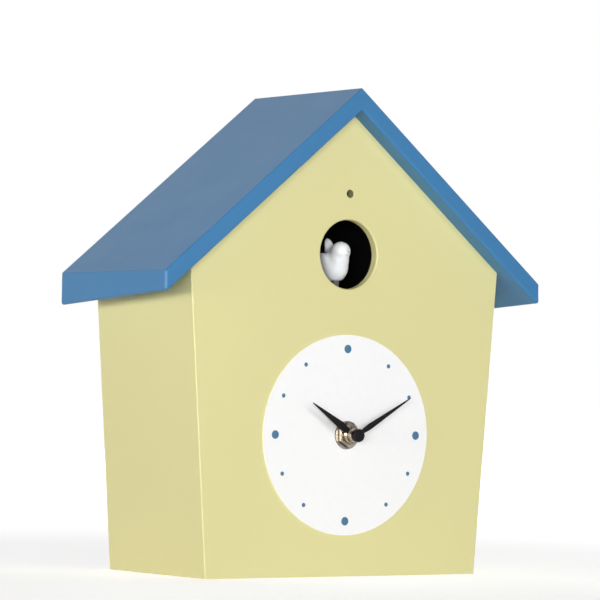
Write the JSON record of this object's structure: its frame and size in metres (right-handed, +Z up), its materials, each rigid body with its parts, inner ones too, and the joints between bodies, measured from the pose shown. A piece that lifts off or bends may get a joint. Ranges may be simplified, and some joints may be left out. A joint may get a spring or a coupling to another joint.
{
  "type": "cuckoo clock",
  "caption": "Cuckoo clock shaped as a gabled house: blue overhanging roof, yellow tapered body, white dial with lance hands, and a bird that slides out of a round hole on a motor drive.",
  "frame": {"origin": "middle of the underside of the base, where the clock stands", "axes": "+Z up, +X to the right seen from the front, +Y from the dial towards the wall"},
  "size_m": [0.2264, 0.099, 0.241],
  "materials": {
    "yellow_paint": "satin paint on board",
    "blue_paint": "satin paint on board",
    "bare_wood": "sawn softwood",
    "cover_board": "dark hardboard",
    "steel": "plated",
    "dial_white": "printed card, satin",
    "brass": "turned",
    "hand_black": "satin black",
    "movement_black": "moulded, fine grain",
    "gear_white": "moulded",
    "pipe_brass": "turned",
    "copper": "enamelled winding",
    "board_green": "solder mask",
    "cell_jacket": "gloss jacket",
    "shroud_black": "matt black",
    "drive_grey": "moulded",
    "bird_white": "satin white",
    "motor_steel": "plated can",
    "sensor_clear": "clear resin over the cell",
    "control_black": "moulded",
    "button_red": "moulded",
    "speaker_steel": "pressed",
    "magnet": "ferrite",
    "cone_paper": "pressed paper"
  },
  "bodies": {
    "case": {"base_panel": "yellow_paint", "battery_box": "control_black", "battery_contacts": "steel", "bird_shroud": "shroud_black", "bush_nut": "brass", "bush_washer": "steel", "clock_cell": "cell_jacket", "clock_cell_contacts": "steel", "cover_screws": "steel", "dial": "dial_white", "drive_bed": "drive_grey", "drive_motor": "motor_steel", "front_panel": "yellow_paint", "hanger_plate": "steel", "hanger_screws": "steel", "left_wall": "yellow_paint", "light_sensor": "sensor_clear", "lower_cell": "cell_jacket", "lower_left_block": "bare_wood", "lower_right_block": "bare_wood", "main_board": "board_green", "mode_switch": "control_black", "movement_board": "board_green", "movement_coil": "copper", "movement_front": "movement_black", "movement_rear": "movement_black", "rear_cover": "cover_board", "ridge_block": "bare_wood", "right_wall": "yellow_paint", "roof_left": "blue_paint", "roof_right": "blue_paint", "sensor_board": "board_green", "speaker_cone": "cone_paper", "speaker_frame": "speaker_steel", "speaker_magnet": "magnet", "test_switch": "control_black", "threaded_bush": "brass", "upper_cell": "cell_jacket", "upper_left_block": "bare_wood", "upper_right_block": "bare_wood", "volume_control": "control_black"},
    "minute": {"minute_arbor": "brass", "minute_hand": "hand_black", "cap_nut": "hand_black"},
    "hour": {"hour_wheel": "pipe_brass", "hour_hand": "hand_black", "hour_collar": "pipe_brass"},
    "minute_wheel": {"minute_wheel": "gear_white"},
    "setting": {"setting_stem": "gear_white", "setting_knob": "movement_black"},
    "bird": {"bird": "bird_white", "bird_carriage": "drive_grey"},
    "drive_gear": {"drive_gear": "gear_white"},
    "idler_gear": {"idler_gear": "gear_white"},
    "motor_pinion": {"motor_pinion": "pipe_brass"},
    "battery_door": {"battery_door": "control_black"},
    "mode_slider": {"mode_slider": "control_black"},
    "volume_knob": {"volume_knob": "control_black"},
    "test_button": {"test_button": "button_red"}
  },
  "joints": [
    {"name": "minute_turn", "type": "hinge", "parent": "case", "child": "minute", "pos_m": [0, -0.0441, 0.0698], "axis": [0, 1, 0], "continuous": true},
    {"name": "hour_turn", "type": "hinge", "parent": "case", "child": "hour", "pos_m": [0, -0.0441, 0.0698], "axis": [0, 1, 0], "continuous": true},
    {"name": "minute_wheel_turn", "type": "hinge", "parent": "case", "child": "minute_wheel", "pos_m": [0.0048, -0.0344, 0.07811], "axis": [0, 1, 0], "continuous": true},
    {"name": "setting_turn", "type": "hinge", "parent": "case", "child": "setting", "pos_m": [0.01311, -0.024, 0.08291], "axis": [0, 1, 0], "continuous": true},
    {"name": "bird_slide", "type": "slide", "parent": "case", "child": "bird", "axis": [0, -1, 0], "range_m": [0, 0.024]},
    {"name": "drive_gear_turn", "type": "hinge", "parent": "case", "child": "drive_gear", "pos_m": [0, -0.009, 0.12468], "axis": [1, 0, 0], "range_deg": [0, 246.05]},
    {"name": "idler_turn", "type": "hinge", "parent": "case", "child": "idler_gear", "pos_m": [0, 0.0035, 0.12468], "axis": [1, 0, 0], "range_deg": [-983.21, 0]},
    {"name": "motor_turn", "type": "hinge", "parent": "case", "child": "motor_pinion", "pos_m": [0, 0.0035, 0.11218], "axis": [1, 0, 0], "range_deg": [0, 3930.85]},
    {"name": "door_slide", "type": "slide", "parent": "case", "child": "battery_door", "axis": [-1, 0, 0], "range_m": [0, 0.05]},
    {"name": "mode_slide", "type": "slide", "parent": "case", "child": "mode_slider", "axis": [1, 0, 0], "range_m": [-0.003, 0.003]},
    {"name": "volume_turn", "type": "hinge", "parent": "case", "child": "volume_knob", "pos_m": [-0.013, 0.0375, 0.16492], "axis": [0, 1, 0], "range_deg": [-150, 150]},
    {"name": "test_press", "type": "slide", "parent": "case", "child": "test_button", "axis": [0, -1, 0], "range_m": [0, 0.0008], "stiffness_N_per_m": 400}
  ],
  "couplings": [
    {"joint": "hour_turn", "follows": "minute_turn", "ratio": 0.083333},
    {"joint": "minute_wheel_turn", "follows": "minute_turn", "ratio": -0.33333},
    {"joint": "setting_turn", "follows": "minute_turn", "ratio": 1},
    {"joint": "drive_gear_turn", "follows": "bird_slide", "rad_per_m": 178.57},
    {"joint": "idler_turn", "follows": "bird_slide", "rad_per_m": -714.29},
    {"joint": "motor_turn", "follows": "bird_slide", "rad_per_m": 2857.1}
  ]
}
